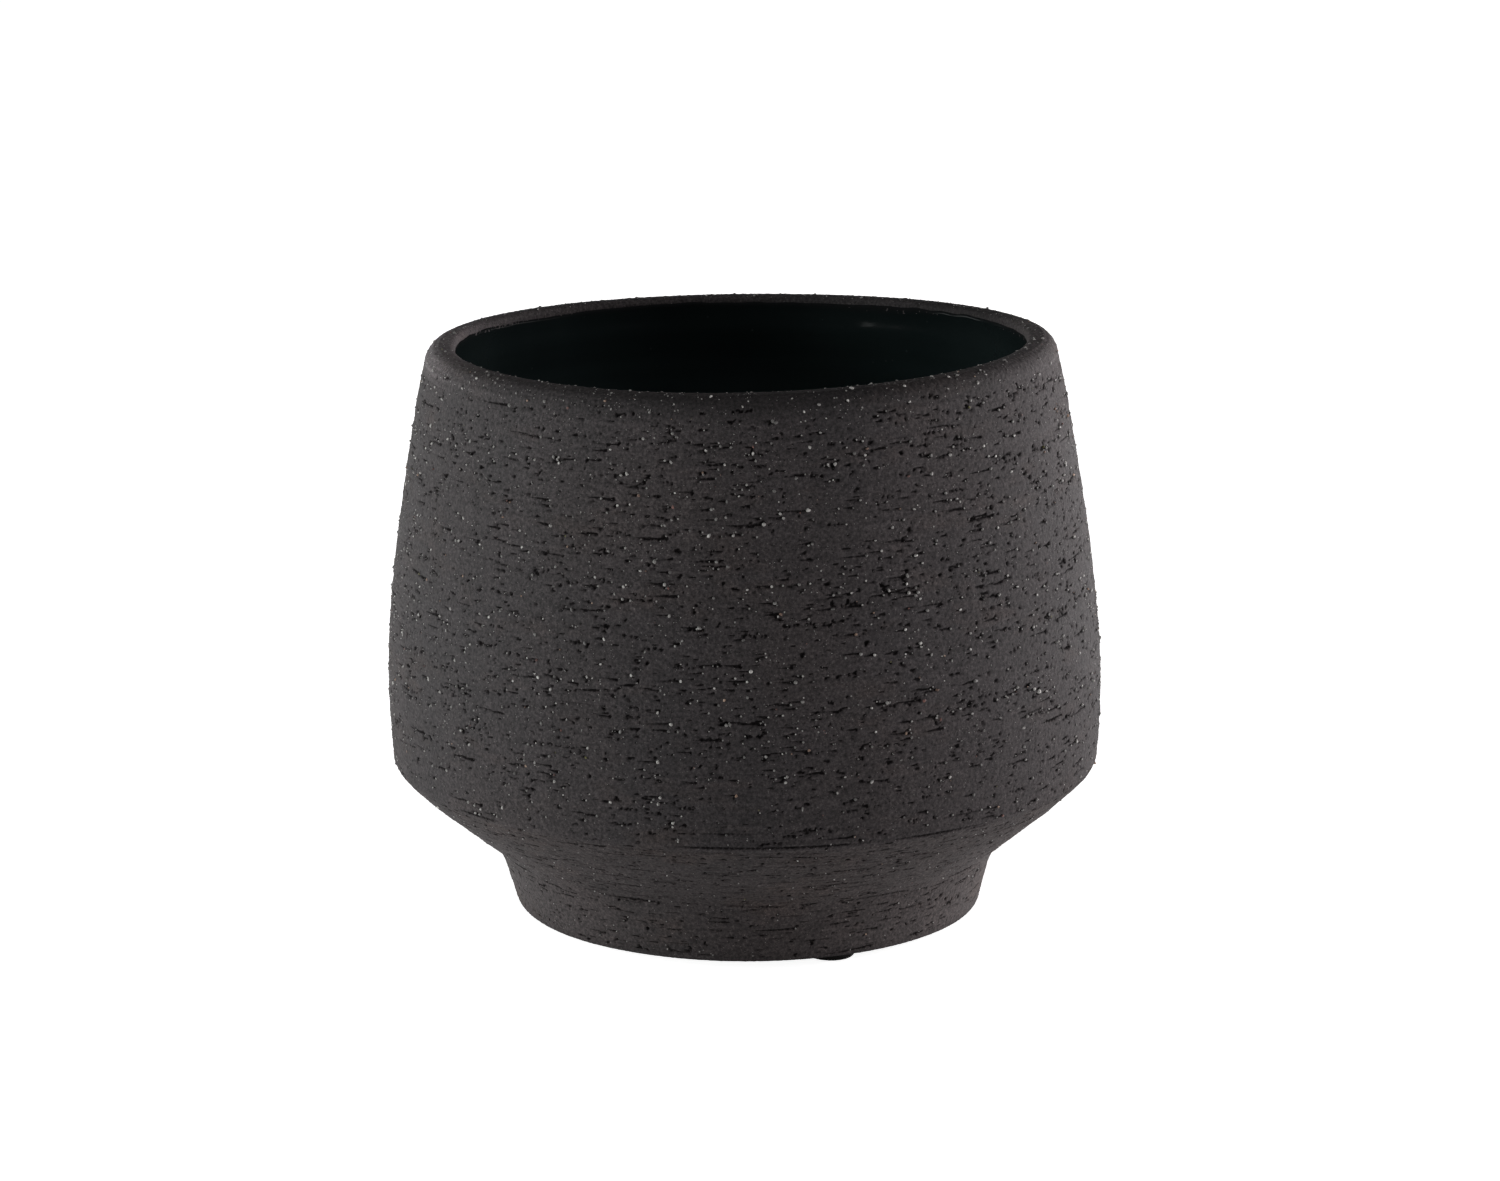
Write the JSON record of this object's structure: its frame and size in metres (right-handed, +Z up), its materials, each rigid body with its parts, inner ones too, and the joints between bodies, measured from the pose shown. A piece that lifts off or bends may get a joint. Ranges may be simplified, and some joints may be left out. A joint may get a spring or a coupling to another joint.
{
  "type": "candle jar",
  "caption": "Squat round-bellied coarse black stoneware candle vessel on a turned foot, open top, glossy dark glaze inside, standing on small self-adhesive pads. Empty, with no lid.",
  "frame": {"origin": "on the axis of turning, in the plane that the pads stand on", "axes": "+Z up along the axis of turning, out of the mouth; +X to the right and +Y to the back of the view in the reference picture"},
  "size_m": [0.118, 0.118, 0.0955],
  "materials": {
    "stoneware": "unglazed coarse grogged stoneware, matt charcoal black with pale specks, drag lines and pits",
    "inside_glaze": "glossy black glaze with a teal cast",
    "pad_rubber": "matt black",
    "adhesive_film": "thin translucent acrylic adhesive film"
  },
  "bodies": {
    "root": {"stoneware_body": "stoneware", "interior_glaze": "inside_glaze", "foot_pad_1": "pad_rubber", "foot_pad_2": "pad_rubber", "foot_pad_3": "pad_rubber", "pad_adhesive_1": "adhesive_film", "pad_adhesive_2": "adhesive_film", "pad_adhesive_3": "adhesive_film"}
  },
  "joints": []
}
